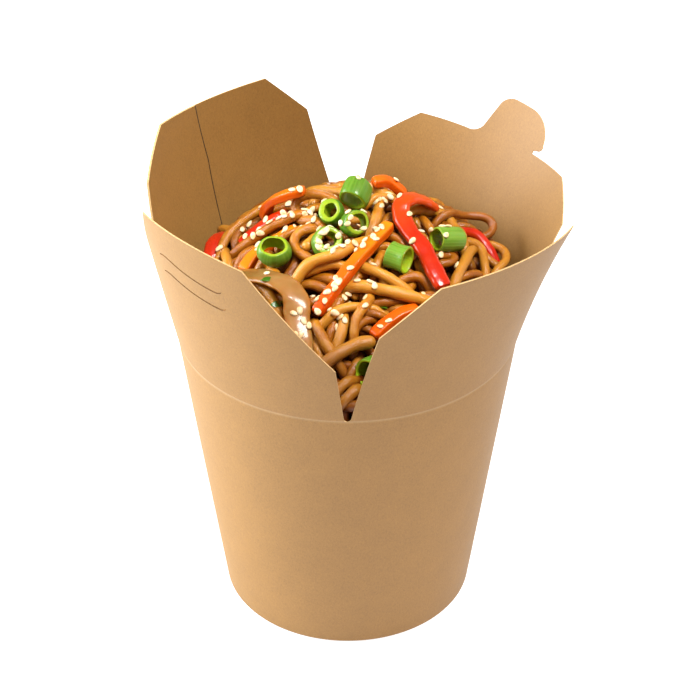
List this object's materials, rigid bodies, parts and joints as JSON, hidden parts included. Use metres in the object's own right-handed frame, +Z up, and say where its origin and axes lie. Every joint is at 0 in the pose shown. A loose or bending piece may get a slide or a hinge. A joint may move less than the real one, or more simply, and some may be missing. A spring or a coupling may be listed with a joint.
{
  "type": "noodle takeaway box",
  "caption": "Round-based kraft paper takeaway box standing open, its flaps spread, heaped with sauced noodles, carrot, red pepper, spring onion and sesame.",
  "frame": {"origin": "on the surface the box stands on, under the middle of the whole box's bounds; the cone's axis is 4.1 mm towards -X and 5.8 mm towards -Y of it", "axes": "+Z up; -Y is the flap with two slits, +X the plain flap, +Y the flap with the hooked tab, -X the flap with the glued seam"},
  "size_m": [0.1503, 0.1611, 0.1754],
  "materials": {
    "kraft_paper": "matt brown kraft board",
    "noodle": "glossy with soy sauce",
    "spring_onion": "moist satin",
    "carrot": "moist satin",
    "red_pepper": "glossy",
    "onion": "glossy, translucent"
  },
  "bodies": {
    "box": {"carton_wall": "kraft_paper", "base_disc": "kraft_paper", "noodle_heap": "noodle", "spring_onion_1": "spring_onion", "spring_onion_2": "spring_onion", "spring_onion_3": "spring_onion", "spring_onion_4": "spring_onion", "spring_onion_5": "spring_onion", "spring_onion_6": "spring_onion", "spring_onion_7": "spring_onion", "spring_onion_8": "spring_onion", "carrot_strip_1": "carrot", "carrot_strip_2": "carrot", "carrot_strip_3": "carrot", "carrot_strip_4": "carrot", "carrot_strip_5": "carrot", "red_pepper_strip_1": "red_pepper", "red_pepper_strip_2": "red_pepper", "red_pepper_strip_3": "red_pepper", "red_pepper_strip_4": "red_pepper", "onion_strip": "onion"},
    "slit_front_flap": {"flap_slit_front": "kraft_paper"},
    "plain_right_flap": {"flap_plain_right": "kraft_paper"},
    "tab_back_flap": {"flap_tab_back": "kraft_paper"},
    "seam_left_flap": {"flap_seam_left": "kraft_paper"}
  },
  "joints": [
    {"name": "slit_flap_crease", "type": "hinge", "parent": "box", "child": "slit_front_flap", "pos_m": [-0.0041, -0.0653, 0.1089], "axis": [1, 0, 0], "range_deg": [0, 25]},
    {"name": "plain_flap_crease", "type": "hinge", "parent": "box", "child": "plain_right_flap", "pos_m": [0.0554, -0.0058, 0.1089], "axis": [0, 1, 0], "range_deg": [0, 25]},
    {"name": "tab_flap_crease", "type": "hinge", "parent": "box", "child": "tab_back_flap", "pos_m": [-0.0041, 0.0537, 0.1089], "axis": [-1, 0, 0], "range_deg": [0, 25]},
    {"name": "seam_flap_crease", "type": "hinge", "parent": "box", "child": "seam_left_flap", "pos_m": [-0.0636, -0.0058, 0.1089], "axis": [0, -1, 0], "range_deg": [0, 25]}
  ]
}
